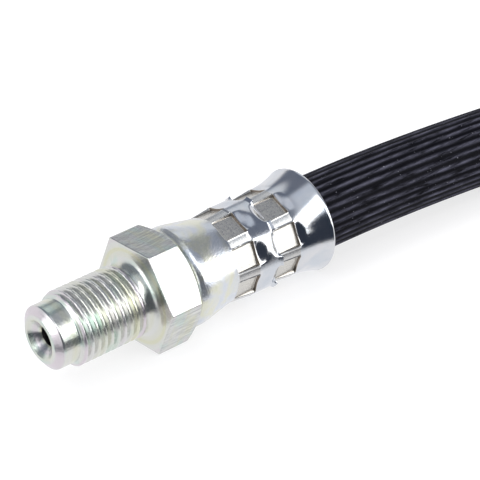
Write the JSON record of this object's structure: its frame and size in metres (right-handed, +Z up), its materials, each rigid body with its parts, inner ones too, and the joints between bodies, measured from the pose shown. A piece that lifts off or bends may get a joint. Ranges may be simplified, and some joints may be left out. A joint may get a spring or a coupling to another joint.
{
  "type": "brake hose",
  "caption": "Flexible hydraulic brake hose with a crimped male threaded end and a crimped female threaded end.",
  "frame": {"origin": "on the surface the hose lies on, under the middle of the box round its two fittings", "axes": "+X from the male end to the female end, along both fittings' axes; +Z up"},
  "size_m": [0.3442, 0.0562, 0.0144],
  "materials": {
    "plated_steel": "bright zinc plate with a faint rainbow passivate over turned steel",
    "ferrule_steel": "bright zinc plate over drawn and crimped steel",
    "hose_rubber": "satin black rubber with fine ribs along it"
  },
  "bodies": {
    "root": {"male_union": "plated_steel", "front_ferrule": "ferrule_steel", "hose": "hose_rubber", "rear_ferrule": "ferrule_steel", "female_union": "plated_steel"}
  },
  "joints": []
}
